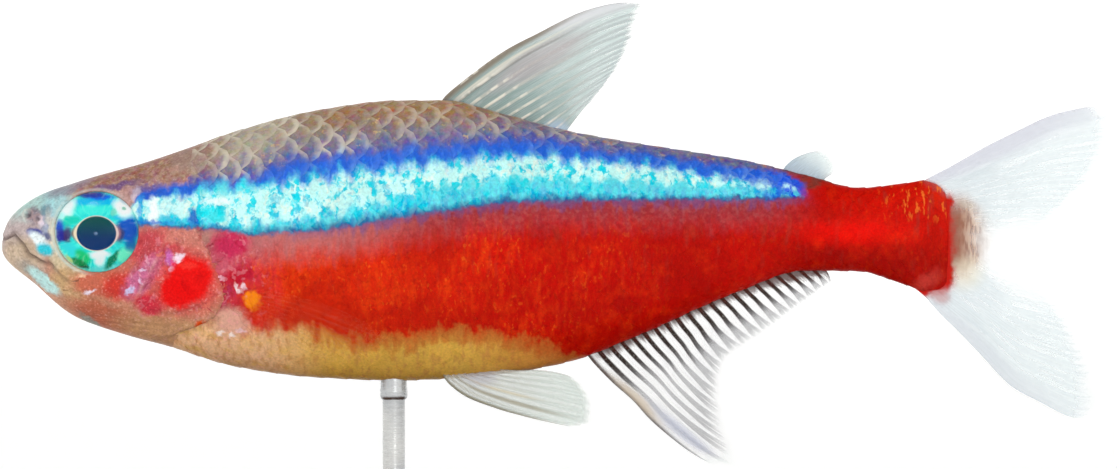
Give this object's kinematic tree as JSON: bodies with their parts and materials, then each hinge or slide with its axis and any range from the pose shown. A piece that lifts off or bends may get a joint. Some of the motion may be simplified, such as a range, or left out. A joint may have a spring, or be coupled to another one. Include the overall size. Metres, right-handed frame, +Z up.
{
  "type": "cardinal tetra on a display stand",
  "caption": "Slender freshwater fish with a blue stripe, red flank, clear fins and forked tail, held level above a flat base by a thin rod.",
  "frame": {"origin": "centre of the bounding box at the underside of the stand's base, under the middle of the fish's length", "axes": "+Z up, +X from the snout to the tail fin, +Y to the fish's right side"},
  "size_m": [0.035, 0.014, 0.0191],
  "materials": {
    "head": "moist skin, olive brown above and silvery below",
    "lower_jaw": "moist skin, pale grey with a blue-green sheen",
    "gill_cover": "smooth red plate with silver flecks",
    "eye": "clear round cornea over a blue-green iris and a dark pupil",
    "flank": "moist scaled skin with a shining blue stripe over red",
    "fin": "clear thin web on fine rays",
    "stand_base": "dark stained close-grained wood, satin",
    "stand_rod": "satin"
  },
  "bodies": {
    "root": {"head": "head", "lower_jaw": "lower_jaw", "gill_cover_left": "gill_cover", "gill_cover_right": "gill_cover", "eye_left": "eye", "eye_right": "eye", "trunk": "flank", "tail": "flank", "dorsal_fin": "fin", "adipose_fin": "fin", "anal_fin": "fin", "pelvic_fin_left": "fin", "pelvic_fin_right": "fin", "pectoral_fin_left": "fin", "pectoral_fin_right": "fin", "caudal_fin_upper": "fin", "caudal_fin_lower": "fin", "stand_base": "stand_base", "stand_rod": "stand_rod"}
  },
  "joints": []
}
